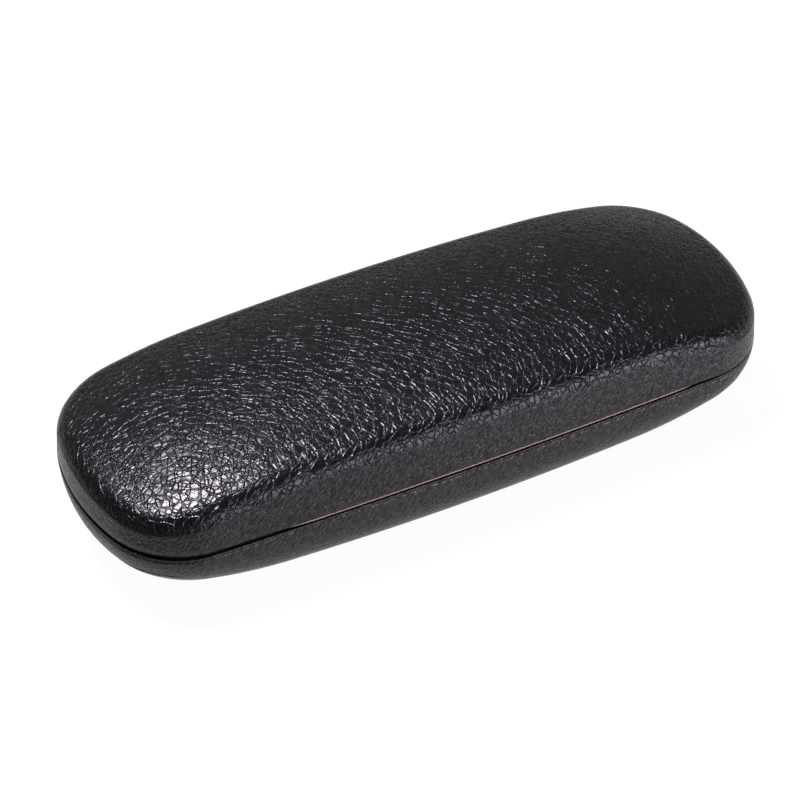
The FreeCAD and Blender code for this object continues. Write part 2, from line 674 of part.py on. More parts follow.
def hinge():
    below = "-2 * dims.knuckle_radius"
    edge = "dims.leaf_edge"
    middle = "dims.middle_knuckle / 2"
    far = "dims.leaf_length"
    base_spans = [(middle, "dims.end_knuckle", below, edge), ("-dims.end_knuckle", "-" + middle, below, edge)]
    lid_spans = [(f"-{middle} - dims.knuckle_gap", f"{middle} + dims.knuckle_gap", below, edge)]
    window_end = "dims.spring_window + dims.window_width"
    for low, high in (("dims.spring_window", window_end), ("dims.end_knuckle - dims.knuckle_gap", far)):
        lid_spans.append((low, high, below, edge))
        lid_spans.append((f"-({high})", f"-({low})", below, edge))
    slope = size("wall_draft")
    for half, bore, spans in (("base", "fixed_bore", base_spans), ("lid", "running_bore", lid_spans)):
        finish(leaf(half + "_leaf", bore, spans), half + "_hinge_leaf", half, y="dims.pivot_y", tilt=slope)
        finish(rivet_row(half + "_rivet_row"), half + "_rivets", half, y="dims.pivot_y", tilt=slope)
    finish(hinge_pin("pin"), "hinge_pin", "lid", y="dims.pivot_y")
    for side, sign in (("left", "-"), ("right", "")):
        finish(snap_spring("spring_" + side), "snap_spring_" + side, "lid",
               x=sign + "dims.spring_x", y="dims.spring_centre")


def check_and_write():
    """Stops on any failed feature or bad solid, then writes one file for each piece."""
    for item in doc.Objects:
        if "Invalid" in item.State or "Error" in item.State:
            raise RuntimeError(f"{item.Name} failed: {item.getStatusString()}")
    for piece in pieces:
        if piece.Shape.isNull() or not piece.Shape.isValid() or not piece.Shape.Solids:
            raise RuntimeError(f"{piece.Label} has no valid solid")
    os.makedirs("parts", exist_ok=True)
    for piece in pieces:
        piece.Shape.exportStep(f"parts/{piece.Label}.step")


pieces = []
lid()
base()
hinge()
doc.recompute()
check_and_write()
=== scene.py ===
"""Looks of a hard clamshell eyeglasses case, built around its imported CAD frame.

The leather, foam, linings, collar and springs are new meshes, worked out from the same arcs as the CAD. The
steel bowls, hinge leaves, pin and rivets are the CAD's own. Sizes are in mm, and add_mesh turns them into
metres. Places of lights and the camera are in metres.
"""
import json
import math
from types import SimpleNamespace

import bpy
import numpy as np
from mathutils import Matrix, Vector


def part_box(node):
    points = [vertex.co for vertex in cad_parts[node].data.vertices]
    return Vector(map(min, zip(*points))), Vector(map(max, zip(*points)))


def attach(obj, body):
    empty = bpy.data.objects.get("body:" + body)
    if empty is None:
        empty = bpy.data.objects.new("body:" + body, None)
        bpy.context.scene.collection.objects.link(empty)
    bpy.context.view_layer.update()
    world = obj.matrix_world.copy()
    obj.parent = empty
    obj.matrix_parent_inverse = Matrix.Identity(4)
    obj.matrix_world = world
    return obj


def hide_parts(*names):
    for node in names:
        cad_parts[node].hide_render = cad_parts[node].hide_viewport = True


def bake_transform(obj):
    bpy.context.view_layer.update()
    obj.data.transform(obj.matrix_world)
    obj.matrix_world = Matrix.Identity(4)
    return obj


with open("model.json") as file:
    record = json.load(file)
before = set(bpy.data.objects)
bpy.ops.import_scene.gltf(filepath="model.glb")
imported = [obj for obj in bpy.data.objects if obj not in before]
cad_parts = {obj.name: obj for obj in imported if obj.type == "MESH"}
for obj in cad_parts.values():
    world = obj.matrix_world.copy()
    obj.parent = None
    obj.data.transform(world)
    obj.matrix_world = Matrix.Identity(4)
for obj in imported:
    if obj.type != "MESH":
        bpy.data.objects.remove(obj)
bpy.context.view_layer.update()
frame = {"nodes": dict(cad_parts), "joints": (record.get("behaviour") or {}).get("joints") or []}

MM = 0.001                             # a millimetre in metres
hinge = next(joint for joint in frame["joints"] if joint["name"] == "lid_hinge")
SEAM = hinge["pos_m"][2] / MM          # height of the plane where lid and base meet
PIVOT_Y = hinge["pos_m"][1] / MM

# ---------------------------------------------------------------- sizes, mm
# Heights are measured from the seam plane, away from it: up for the lid, down for the base.
# An inset moves a whole surface inwards, which keeps every arc's centre where it is.

HALF_LENGTH, HALF_WIDTH = 80.0, 29.35
SIDE_RADIUS, END_RADIUS, CORNER_RADIUS = 1685.0, 55.4, 18.9
DRAFT = math.radians(3.0)

# The crown is an arc of radius long over the middle, up to angle each way, and of radius roll beyond it. Its
# radius across is cross. The grain turns from fine to coarse between two shares of the shoulder's drop. The
# leather stops short of the seam by edge, more at the left end and less at the right.
LID = SimpleNamespace(name="lid", up=1, height=18.2, long=900.0, angle=math.radians(2.62), roll=124.0,
                      cross=93.6, shoulder=5.0, land=None, coarse=(0.95, 0.55), crown_rings=46,
                      edge=0.54, left_gape=0.12, right_pinch=0.44)
BASE = SimpleNamespace(name="base", up=-1, height=20.0, long=900.0, angle=math.radians(2.72), roll=94.6,
                       cross=60.0, shoulder=12.3, land=19.6, coarse=(0.6, 0.15), crown_rings=26,
                       edge=0.28, left_gape=0.0, right_pinch=0.2)
LAND_SOFT = 0.12                       # rounding round the flat land under the base

# insets of each layer's outer and inner surface
COVER, COVER_INNER = 0.0, 1.0
PADDING, PADDING_INNER = 1.6, 2.5
LINER, HOLLOW = 2.55, 3.35

LEFT_END, RIGHT_END = (36.0, 56.0), (48.0, 68.0)  # where the leather's distance from the seam changes
EDGE_ROUND = 0.28                      # radius of the leather's outer edge
FOLD_DEPTH, FOLD_THICK, FOLD_ROUND = 2.4, 0.6, 0.25  # the leather's turn under the rim
HINGE_FOLD = COVER_INNER + 0.1         # its depth where the hinge needs the room
PADDING_START = 6.5
FLANGE = (0.14, 0.54)                  # lowest and highest height of the lid lining's turned-out edge
FLANGE_SETBACK = 0.12
FLANGE_LEFT, FLANGE_RIGHT = (1.1, (38.0, 54.0)), (2.3, (50.0, 72.0))  # more setback, and where it grows

BEVEL = math.tan(math.radians(54.0))   # of the rear rims, so that they clear each other when the lid is open
NOTCH_RADIUS, NOTCH_HALF = 1.74, 32.3  # room for the hinge barrel
WINDOW_HALF, WINDOW_HEIGHT = 31.6, 6.1  # room for the hinge leaves
RIM_RADIUS, FLANGE_RADIUS = 0.3, 0.15

COLLAR = SimpleNamespace(inset=3.55, thick=0.6, proud=1.2, deep=3.5, gap=0.05, rear=12.5)
SPRING = SimpleNamespace(radius=4.24, thick=0.3, centre_y=28.84, half=math.radians(65.0), reach=3.2)

STATIONS = 880                         # points round each ring
SIDE_RINGS = 40                        # of the leather, from rim to crown
TRAY_RINGS, FOAM_RINGS = (24, 18), (8, 8)  # of a layer's surface: up the side, then over the crown
HIDDEN_RINGS, FOLDED_RINGS = (12, 10), (6, 6)
CLEAR = 0.02                           # between neighbouring layers
SPINE = 0.7                            # length of the crown's centre line, as a share of the outline's
TINY = 1e-6

GRAIN_DEPTH = 0.02                     # of the grain pressed into the mesh
GRAIN_SPREAD = 2.2                     # how much wider its creases are than the material's


# ---------------------------------------------------------------- surfaces of the two bowls

def outline(count):
    """Points of the seam outline and their outward normals, evenly spaced counter-clockwise from +X."""
    end = np.array([HALF_LENGTH - END_RADIUS, 0.0])
    side = np.array([0.0, HALF_WIDTH - SIDE_RADIUS])
    across = end - side
    gap = np.hypot(*across)
    reach_side, reach_end = SIDE_RADIUS - CORNER_RADIUS, END_RADIUS - CORNER_RADIUS
    along = (reach_side ** 2 - reach_end ** 2 + gap ** 2) / (2 * gap)
    unit = across / gap
    corner = side + unit * along + np.array([unit[1], -unit[0]]) * math.sqrt(reach_side ** 2 - along ** 2)
    end_turn = math.atan2(*(corner - end)[::-1])
    side_turn = math.atan2(*(corner - side)[::-1])
    arcs = [(end, END_RADIUS, 0.0, end_turn), (corner, CORNER_RADIUS, end_turn, side_turn),
            (side, SIDE_RADIUS, side_turn, math.pi / 2)]
    lengths = [radius * (stop - start) for _, radius, start, stop in arcs]
    quarter = sum(lengths)
    slack = 1e-9
    distance = np.arange(count) * 4 * quarter / count
    part = np.floor_divide(distance + slack, quarter).astype(int)
    local = distance - part * quarter
    local = np.where(part % 2 == 1, quarter - local, local)
    points, normals = np.zeros((count, 2)), np.zeros((count, 2))
    begin = 0.0
    for (centre, radius, start, _), length in zip(arcs, lengths):
        here = (local >= begin - slack) & (local <= begin + length + slack)
        turn = start + (local[here] - begin) / radius
        normals[here] = np.stack([np.cos(turn), np.sin(turn)], 1)
        points[here] = centre + radius * normals[here]
        begin += length
    flip_x = np.where((part == 1) | (part == 2), -1.0, 1.0)
    flip_y = np.where(part >= 2, -1.0, 1.0)
    flip = np.stack([flip_x, flip_y], 1)
    return points * flip, normals * flip


EDGE, NORMAL = outline(STATIONS)
AT_HINGE = (np.abs(EDGE[:, 0]) < WINDOW_HALF) & (EDGE[:, 1] > 0)


def crown(bowl, inset, x, y):
    """Height of a bowl's crown above plan points."""
    across = np.sqrt(np.maximum((bowl.cross - inset) ** 2 - y ** 2, TINY))
    x = np.abs(x)
    middle_radius = bowl.long - bowl.cross + across
    middle_low = bowl.height - bowl.long
    middle = middle_low + np.sqrt(np.maximum(middle_radius ** 2 - x ** 2, TINY))
    step = bowl.long - bowl.roll
    roll_x = step * math.sin(bowl.angle)
    roll_low = middle_low + step * math.cos(bowl.angle)
    roll_radius = bowl.roll - bowl.cross + across
    roll = roll_low + np.sqrt(np.maximum(roll_radius ** 2 - (x - roll_x) ** 2, TINY))
    return np.where(x <= middle_radius * math.sin(bowl.angle), middle, roll)


def plan(inset, inward=0.0):
    """Plan points inset from the outline, and further in by inward; either has one value or one a station."""
    return EDGE - NORMAL * np.broadcast_to(inset + inward, (STATIONS,))[:, None]


def ring_at(inset, z):
    return np.column_stack([plan(inset), z])


def profile(bowl, inset, low, side_rings, crown_rings):
    """Rings of one surface, from height low on the wall, over the shoulder, to the crown's centre line."""
    radius = bowl.shoulder - inset
    lean = math.tan(DRAFT)

    def height(inward):
        at = plan(inset, inward)
        return crown(bowl, inset, at[:, 0], at[:, 1])

    def slope(inward):
        small = 1e-3
        return (height(inward + small) - height(inward - small)) / (2 * small)

    # the shoulder's arc touches the wall and the crown; halving finds how far in it leaves the crown
    halvings = 45
    below, above = np.zeros(STATIONS), np.full(STATIONS, 2 * radius + 2.0)
    for _ in range(halvings):
        tangent = (below + above) / 2
        rise = slope(tangent)
        length = np.sqrt(1 + rise ** 2)
        miss = (tangent + radius * rise / length - radius / math.cos(DRAFT)
                - lean * (height(tangent) - radius / length))
        below, above = np.where(miss < 0, tangent, below), np.where(miss < 0, above, tangent)
    rise = slope(tangent)
    length = np.sqrt(1 + rise ** 2)
    centre_z = height(tangent) - radius / length
    centre_in = radius / math.cos(DRAFT) + lean * centre_z
    wall_top = centre_z + radius * math.sin(DRAFT)
    turn_stop = np.arctan2(1.0, rise)
    start_share = np.clip((low - centre_z) / radius, -0.999, 0.999)
    turn_start = np.where(low > wall_top, np.arcsin(start_share), DRAFT)
    wall = np.maximum(wall_top - low, 0) / math.cos(DRAFT)
    bend = radius * (turn_stop - turn_start)

    rings = []
    for t in np.linspace(0, 1, side_rings):
        run = t * (wall + bend)
        z_wall = low + run * math.cos(DRAFT)
        turn = turn_start + np.maximum(run - wall, 0) / radius
        on_wall = run < wall
        z = np.where(on_wall, z_wall, centre_z + radius * np.sin(turn))
        inward = np.where(on_wall, lean * z_wall, centre_in - radius * np.cos(turn))
        rings.append(np.column_stack([plan(inset, inward), z]))
    foot = rings[-1][:, :2]
    spine = np.column_stack([EDGE[:, 0] * SPINE, np.zeros(STATIONS)])
    for t in np.linspace(0, 1, crown_rings + 1)[1:]:
        at = foot * (1 - t) + spine * t
        rings.append(np.column_stack([at, crown(bowl, inset, at[:, 0], at[:, 1])]))
    return rings


def rear_low(start, x, y):
    """Lowest height of a rim at plan points: level, but bevelled and notched along the hinge."""
    bevel = (y - PIVOT_Y) * BEVEL
    notch = np.sqrt(np.maximum(NOTCH_RADIUS ** 2 - (y - PIVOT_Y) ** 2, 0))
    notch = np.where((np.abs(x) < NOTCH_HALF) & (y > 0), notch, 0)
    return np.maximum(np.maximum(start, bevel), notch)


def rim_ring(inset, start, lift):
    """A ring that follows a rim at an inset, raised from it by lift."""
    at = plan(inset)
    return np.column_stack([at, rear_low(start, at[:, 0], at[:, 1]) + lift])


def window_low(start):
    """A layer's lowest height: start, but higher where the hinge leaves need room."""
    return np.where(AT_HINGE, WINDOW_HEIGHT, start)


def smooth_step(value, low, high):
    t = np.clip((value - low) / (high - low), 0, 1)
    return t * t * (3 - 2 * t)


# ---------------------------------------------------------------- meshes

def add_mesh(name, points, faces, values=None):
    """A smooth-shaded object from points in mm, with optional named values for each point."""
    mesh = bpy.data.meshes.new(name)
    mesh.from_pydata((points * MM).tolist(), [], faces)
    mesh.validate()
    mesh.shade_smooth()
    for key, data in (values or {}).items():
        mesh.attributes.new(key, "FLOAT", "POINT").data.foreach_set("value", data.astype(np.float32))
    piece = bpy.data.objects.new(name, mesh)
    bpy.context.scene.collection.objects.link(piece)
    return piece


def loft(name, bowl, rings, values=None):
    """Closed skin through rings whose first and last ones fold shut along the centre line."""
    count = len(rings)
    points = np.concatenate(rings)
    if bowl.land is not None:
        over = bowl.land - points[:, 2]
        points[:, 2] = bowl.land - LAND_SOFT * np.logaddexp(0, over / LAND_SOFT)
    world = points * np.array([1, 1, bowl.up]) + np.array([0, 0, SEAM])
    station = np.arange(STATIONS)
    mirror = np.minimum(station, (STATIONS - station) % STATIONS)
    index = np.arange(count * STATIONS).reshape(count, STATIONS)
    index[0] = mirror
    index[-1] = (count - 1) * STATIONS + mirror
    faces = []
    for near, far in zip(index[:-1], index[1:]):
        quads = np.stack([near, np.roll(near, -1), np.roll(far, -1), far], 1)
        faces.append(quads if bowl.up > 0 else quads[:, ::-1])
    faces = np.concatenate(faces)
    used = np.unique(faces)
    renumber = np.full(count * STATIONS, -1)
    renumber[used] = np.arange(len(used))
    values = {key: data[used] for key, data in (values or {}).items()}
    return add_mesh(name, world[used], renumber[faces].tolist(), values)


def sweep(name, rows, facing=1):
    """Closed skin along rows of points that each run once round a section; facing -1 turns it inside out."""
    count = len(rows[0])
    faces = []
    for row in range(len(rows) - 1):
        for i in range(count):
            a, b = row * count + i, row * count + (i + 1) % count
            faces.append([a, b, b + count, a + count])
    faces.append(list(range(count))[::-1])
    faces.append([(len(rows) - 1) * count + i for i in range(count)])
    return add_mesh(name, np.concatenate(rows), [face[::facing] for face in faces])


def leather_cover(bowl):
    """Outer leather: turned in under the rim, over the wall and the crown, and back along its inside."""
    start = (bowl.edge + bowl.left_gape * smooth_step(-EDGE[:, 0], *LEFT_END)
             - bowl.right_pinch * smooth_step(EDGE[:, 0], *RIGHT_END))
    fold = np.where(AT_HINGE, HINGE_FOLD, FOLD_DEPTH)
    wall_lift, foot_lift, foot_in = 0.3, 0.1, 0.05  # where the inner wall meets the fold
    inner_low = rim_ring(COVER_INNER, start, FOLD_THICK + wall_lift)[:, 2]
    rings = profile(bowl, COVER_INNER, inner_low, *FOLDED_RINGS)[::-1]
    rings.append(rim_ring(COVER_INNER + foot_in, start, FOLD_THICK + foot_lift))
    rings.append(rim_ring(fold, start, FOLD_THICK))
    for turn in np.linspace(0, math.pi / 2, 4):
        rings.append(rim_ring(fold - FOLD_ROUND * (1 - math.cos(turn)), start,
                              FOLD_ROUND * (1 - math.sin(turn))))
    rings.append(rim_ring((fold - FOLD_ROUND + EDGE_ROUND) / 2, start, 0.0))
    for turn in np.linspace(math.pi / 2, 0, 6)[:-1]:
        rings.append(rim_ring(EDGE_ROUND * (1 - math.cos(turn)), start, EDGE_ROUND * (1 - math.sin(turn))))
    hidden = len(rings)
    outer_low = rim_ring(COVER, start, EDGE_ROUND)[:, 2]
    rings += profile(bowl, COVER, outer_low, SIDE_RINGS, bowl.crown_rings)

    # grain is 0 on the folded rim and inside, and 1 from just above the rim up
    # coarse is 0 on the wall and 1 on the crown
    rise = 1.2
    grain = np.zeros((len(rings), STATIONS))
    coarse = np.zeros((len(rings), STATIONS))
    shoulder = rings[hidden + SIDE_RINGS - 1][:, 2]
    for number in range(hidden, len(rings)):
        z = rings[number][:, 2]
        grain[number] = smooth_step(z - outer_low, 0.0, rise)
        coarse[number] = smooth_step((shoulder - z) / bowl.shoulder, *bowl.coarse)
    return loft(bowl.name + "_leather", bowl, rings, {"grain": grain.ravel(), "coarse": coarse.ravel()})


def rounded_rim(low, outer, inner):
    """Rings of a rim rounded over at both edges, from the inner wall to the outer one."""
    rings = []
    for turn in np.linspace(0, math.pi / 2, 4)[1:]:
        rings.append(ring_at(inner - RIM_RADIUS * (1 - math.cos(turn)), low - RIM_RADIUS * math.sin(turn)))
    for turn in np.linspace(math.pi / 2, 0, 4)[:-1]:
        rings.append(ring_at(outer + RIM_RADIUS * (1 - math.cos(turn)), low - RIM_RADIUS * math.sin(turn)))
    return rings


def tray(name, bowl, outer, inner, low, counts):
    """A moulded layer between two insets, with a rounded rim; its straight walls start at height low."""
    inside = profile(bowl, inner, low, *counts)
    outside = profile(bowl, outer, low, *counts)
    return loft(name, bowl, inside[::-1] + rounded_rim(low, outer, inner) + outside)


def base_lining():
    return tray("base_lining", BASE, LINER, HOLLOW, window_low(CLEAR) + RIM_RADIUS, TRAY_RINGS)


def foam(bowl):
    low = np.full(STATIONS, PADDING_START + RIM_RADIUS)
    return tray(bowl.name + "_foam", bowl, PADDING, PADDING_INNER, low, FOAM_RINGS)


def lid_lining():
    """The lid's lining turns out under the leather's edge and shows there as a thin line."""
    low, high = FLANGE
    middle, thick, wall_lift = (low + high) / 2, (high - low) / 2, 0.1
    (more_left, left), (more_right, right) = FLANGE_LEFT, FLANGE_RIGHT
    reach = (FLANGE_SETBACK + more_left * smooth_step(-EDGE[:, 0], *left)
             + more_right * smooth_step(EDGE[:, 0], *right))
    rear = NORMAL[:, 1] > 0.5
    reach[rear] = np.maximum(reach[rear], (EDGE[rear, 1] - PIVOT_Y) / NORMAL[rear, 1])
    reach[AT_HINGE] = LINER
    bottom = window_low(low)
    start = bottom + FLANGE_RADIUS
    rim = []
    for turn in np.linspace(0, math.pi / 2, 4)[1:]:
        inset = HOLLOW - FLANGE_RADIUS * (1 - math.cos(turn))
        rim.append(ring_at(inset, start - FLANGE_RADIUS * math.sin(turn)))
    for turn in np.linspace(-math.pi / 2, math.pi / 2, 7):
        inset = reach + thick * (1 - math.cos(turn))
        rim.append(ring_at(inset, bottom - low + middle + thick * math.sin(turn)))
    rim.append(ring_at(LINER - CLEAR, bottom - low + high + CLEAR))
    inside = profile(LID, HOLLOW, start, *TRAY_RINGS)
    outside = profile(LID, LINER, bottom - low + high + wall_lift, *HIDDEN_RINGS)
    return loft("lid_lining", LID, inside[::-1] + rim + outside)


def collar():
    """The locating ring round the inside of the base, standing proud of the seam; open at the rear."""
    side_rings, foot = 60, 0.01
    wall = profile(BASE, HOLLOW, np.full(STATIONS, foot), side_rings, 2)[:side_rings]
    depth = np.stack([ring[:, 2] for ring in wall])
    inward = np.stack([np.einsum("ij,ij->i", EDGE - ring[:, :2], NORMAL) for ring in wall])
    chosen = np.nonzero(EDGE[:, 1] < COLLAR.rear)[0]
    order = np.roll(chosen, -np.argmax(np.diff(chosen, append=chosen[0]) > 1) - 1)
    radius = COLLAR.thick / 2
    heights = np.linspace(COLLAR.deep * 0.7, radius - COLLAR.proud, 8)
    section = [(0.0, COLLAR.deep)]
    section += [(0.0, z) for z in heights]
    section += [(radius * (1 - math.cos(a)), -COLLAR.proud + radius * (1 - math.sin(a)))
                for a in np.linspace(0, math.pi, 9)[1:-1]]
    section += [(COLLAR.thick, z) for z in heights[::-1]]
    section += [(COLLAR.thick, COLLAR.deep)]
    rows = []
    for station in order:
        row = []
        for offset, z in section:
            least = np.interp(z, depth[:, station], inward[:, station]) + COLLAR.gap if z > 0 else 0
            at = EDGE[station] - NORMAL[station] * (max(COLLAR.inset, least) + offset)
            row.append((at[0], at[1], SEAM - z))
        rows.append(row)
    return sweep("collar_ring", rows)


def snap_spring(cad_node):
    """C-shaped leaf spring with rolled edges, hooked into both hinge leaves."""
    low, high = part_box(cad_node)
    middle_x, half_width = (low.x + high.x) / 2 / MM, (high.x - low.x) / 2 / MM
    edge = SPRING.thick / 2
    loop = []
    for corner_x, start in ((half_width - edge, -math.pi / 2), (edge - half_width, math.pi / 2)):
        for turn in np.linspace(start, start + math.pi, 7):
            loop.append((corner_x + edge * math.cos(turn), edge * math.sin(turn)))
    rows = []
    for turn in np.linspace(math.pi - SPRING.half, math.pi + SPRING.half, 49):
        row = []
        for x, out in loop:
            reach = SPRING.radius - edge + out
            y, z = SPRING.centre_y + reach * math.cos(turn), SEAM + reach * math.sin(turn)
            row.append((middle_x + x, y, z))
        rows.append(row)
    return sweep(cad_node + "_leaf", rows, facing=-1)


# ---------------------------------------------------------------- node trees

def feed(tree, socket, value):
    """Links an output to a socket, or sets the socket's value."""
    if isinstance(value, bpy.types.NodeSocket):
        tree.links.new(value, socket)
    else:
        socket.default_value = value


def set_inputs(tree, target, **inputs):
    """Feeds a node's inputs, each named by its label with _ for spaces, or by i and its number."""
    for key, value in inputs.items():
        numbered = key[0] == "i" and key[1:].isdigit()
        feed(tree, target.inputs[int(key[1:]) if numbered else key.replace("_", " ")], value)


def node(tree, kind, settings=None, **inputs):
    made = tree.nodes.new(kind)
    for key, value in (settings or {}).items():
        setattr(made, key, value)
    set_inputs(tree, made, **inputs)
    return made


def operate(tree, kind, operation, values):
    inputs = {f"i{i}": value for i, value in enumerate(values)}
    return node(tree, kind, {"operation": operation}, **inputs).outputs[0]


def maths(tree, operation, *values):
    return operate(tree, "ShaderNodeMath", operation, values)


def times(tree, first, second):
    return maths(tree, "MULTIPLY", first, second)


def plus(tree, first, second):
    return maths(tree, "ADD", first, second)


def vector(tree, operation, *values):
    return operate(tree, "ShaderNodeVectorMath", operation, values)


def scaled(tree, source, factor):
    return node(tree, "ShaderNodeVectorMath", {"operation": "SCALE"}, i0=source, Scale=factor).outputs[0]


def stretched(tree, coords, factors):
    """Coordinates scaled along each axis; a factor below 1 draws a texture out along it."""
    return vector(tree, "MULTIPLY", coords, factors)


def turned(tree, coords, degrees, factors, axis="Z_AXIS"):
    """Coordinates turned about an axis, then scaled along their new axes."""
    rotated = node(tree, "ShaderNodeVectorRotate", {"rotation_type": axis}, Vector=coords,
                   Angle=math.radians(degrees)).outputs[0]
    return stretched(tree, rotated, factors)


def ramp(tree, value, low, high, out_low=0.0, out_high=1.0, kind="SMOOTHSTEP"):
    return node(tree, "ShaderNodeMapRange", {"interpolation_type": kind}, Value=value, From_Min=low,
                From_Max=high, To_Min=out_low, To_Max=out_high).outputs[0]


def between(tree, share, out_low, out_high, kind="SMOOTHSTEP"):
    """From out_low to out_high as share goes from 0 to 1."""
    return ramp(tree, share, 0, 1, out_low, out_high, kind)


def noise(tree, coords, size_mm, detail=2.0, roughness=0.5):
    return node(tree, "ShaderNodeTexNoise", Vector=coords, Scale=1 / (size_mm * MM), Detail=detail,
                Roughness=roughness).outputs


def creases(tree, coords, size_mm, width):
    """0 in the creases between cells, rising to 1 within width, a share of the cell size."""
    cells = node(tree, "ShaderNodeTexVoronoi", {"feature": "DISTANCE_TO_EDGE"}, Vector=coords,
                 Scale=1 / (size_mm * MM), Randomness=1.0)
    return ramp(tree, cells.outputs["Distance"], 0.0, width, kind="LINEAR")


def leather_relief(tree, coords, spread=1.0):
    """Pebbled grain: two families of creases that cross, with finer ones between; spread widens them all."""
    flat = stretched(tree, coords, (1.0, 1.0, 0.7))
    wander = vector(tree, "SUBTRACT", noise(tree, coords, 4.0)["Color"], (0.5, 0.5, 0.5))
    warped = vector(tree, "ADD", flat, scaled(tree, wander, 0.9 * MM))
    drawn_out = (1.0, 0.55, 1.0)
    large = creases(tree, turned(tree, warped, 38.0, drawn_out), 1.5, 0.105 * spread)
    crossing = creases(tree, turned(tree, warped, -47.0, drawn_out), 1.6, 0.075 * spread)
    small = creases(tree, warped, 1.0, 0.14 * spread)
    cut = times(tree, large, between(tree, crossing, 0.3, 1.0, "LINEAR"))
    return times(tree, cut, between(tree, small, 0.8, 1.0, "LINEAR"))


def grain_modifier(piece):
    """Presses the grain into the mesh itself and keeps each point's rest place for the material."""
    tree = bpy.data.node_groups.new("leather_grain_" + piece.name, "GeometryNodeTree")
    for way in ("INPUT", "OUTPUT"):
        tree.interface.new_socket("Geometry", in_out=way, socket_type="NodeSocketGeometry")
    start = node(tree, "NodeGroupInput")
    place = node(tree, "GeometryNodeInputPosition").outputs[0]
    keep = node(tree, "GeometryNodeStoreNamedAttribute", {"data_type": "FLOAT_VECTOR", "domain": "POINT"},
                Geometry=start.outputs[0], Name="rest_place", Value=place)
    coarse, grain = (node(tree, "GeometryNodeInputNamedAttribute", {"data_type": "FLOAT"}, Name=name)
                     for name in ("coarse", "grain"))
    share = times(tree, grain.outputs[0], between(tree, coarse.outputs[0], 0.2, 1.0))
    depth = times(tree, share, GRAIN_DEPTH * MM)
    level = 0.8                        # of the relief that stays where it is
    shift = times(tree, maths(tree, "SUBTRACT", leather_relief(tree, place, GRAIN_SPREAD), level), depth)
    normal = node(tree, "GeometryNodeInputNormal").outputs[0]
    offset = scaled(tree, normal, shift)
    moved = node(tree, "GeometryNodeSetPosition", Geometry=keep.outputs[0], Offset=offset)
    node(tree, "NodeGroupOutput", i0=moved.outputs[0])
    piece.modifiers.new("grain", "NODES").node_group = tree


# ---------------------------------------------------------------- materials

def new_material(name):
    material = bpy.data.materials.new(name)
    material.use_nodes = True
    tree = material.node_tree
    return material, tree, tree.nodes["Principled BSDF"]


def attribute(tree, name):
    return node(tree, "ShaderNodeAttribute", {"attribute_name": name}).outputs


def object_place(tree):
    return node(tree, "ShaderNodeTexCoord").outputs["Object"]


def part_of(tree, source, axis):
    return node(tree, "ShaderNodeSeparateXYZ", Vector=source).outputs[axis]


def bump(tree, height, distance_mm, strength=1.0, normal=None):
    under = {} if normal is None else {"Normal": normal}
    return node(tree, "ShaderNodeBump", Height=height, Distance=distance_mm * MM, Strength=strength,
                **under).outputs[0]


def mix_colour(tree, factor, first, second):
    """Mixes two colours, each an output or red, green and blue."""
    first, second = (value if isinstance(value, bpy.types.NodeSocket) else (*value, 1)
                     for value in (first, second))
    return node(tree, "ShaderNodeMix", {"data_type": "RGBA"}, i0=factor, i6=first, i7=second).outputs[2]


def leather():
    """Pebbled on the shoulder and crown, finer and streaked on the walls, and smooth on the folded rim."""
    material, tree, shader = new_material("black_grained_leather")
    coords = attribute(tree, "rest_place")["Vector"]
    coarse = attribute(tree, "coarse")["Fac"]
    grain = attribute(tree, "grain")["Fac"]
    relief = leather_relief(tree, coords)
    wrinkles = noise(tree, coords, 0.55, 3.0, 0.6)["Fac"]
    streaks = noise(tree, turned(tree, coords, 40.0, (0.35, 1.0, 1.0), "Y_AXIS"), 0.5, 2.0, 0.6)["Fac"]
    uneven = noise(tree, coords, 3.5, 1.0)["Fac"]
    broad = noise(tree, coords, 9.0)["Fac"]
    pores = noise(tree, coords, 0.2, 1.0)["Fac"]

    strength = times(tree, grain, between(tree, coarse, 0.45, 1.0))
    strength = times(tree, strength, ramp(tree, uneven, 0.35, 0.65, 0.85, 1.25))
    normal = bump(tree, times(tree, relief, strength), 0.088)
    side = times(tree, streaks, between(tree, coarse, 1.0, 0.02))
    normal = bump(tree, times(tree, side, grain), 0.55, 1.0, normal)
    fine = times(tree, grain, between(tree, coarse, 1.0, 0.3))
    normal = bump(tree, times(tree, wrinkles, fine), 0.05, 0.8, normal)
    normal = bump(tree, pores, 0.008, 0.5, normal)

    # painted shade: the crease bottoms get a darker colour and less shine, standing in for the shade deep in
    # the creases; they are also a little rougher
    shaded_crease = times(tree, ramp(tree, relief, 0.02, 0.3, 1.0, 0.0), between(tree, coarse, 0.25, 1.0))
    shine = times(tree, between(tree, shaded_crease, 0.5, 0.3), ramp(tree, side, 0.4, 0.6, 0.58, 1.28))
    colour = mix_colour(tree, broad, (0.0018, 0.0018, 0.0021), (0.0034, 0.0033, 0.004))
    colour = mix_colour(tree, times(tree, shaded_crease, 0.6), colour, (0.001, 0.001, 0.0012))
    rough = plus(tree, ramp(tree, broad, 0.3, 0.7, 0.2, 0.25), times(tree, shaded_crease, 0.08))
    rough = plus(tree, rough, ramp(tree, relief, 0.3, 1.0, 0.06, 0.0))
    rough = plus(tree, rough, ramp(tree, wrinkles, 0.3, 0.7, -0.03, 0.03))
    set_inputs(tree, shader, Base_Color=colour, Roughness=rough, IOR=1.5, Normal=normal,
               Specular_Tint=(0.945, 0.885, 1.0, 1), Specular_IOR_Level=shine)
    return material


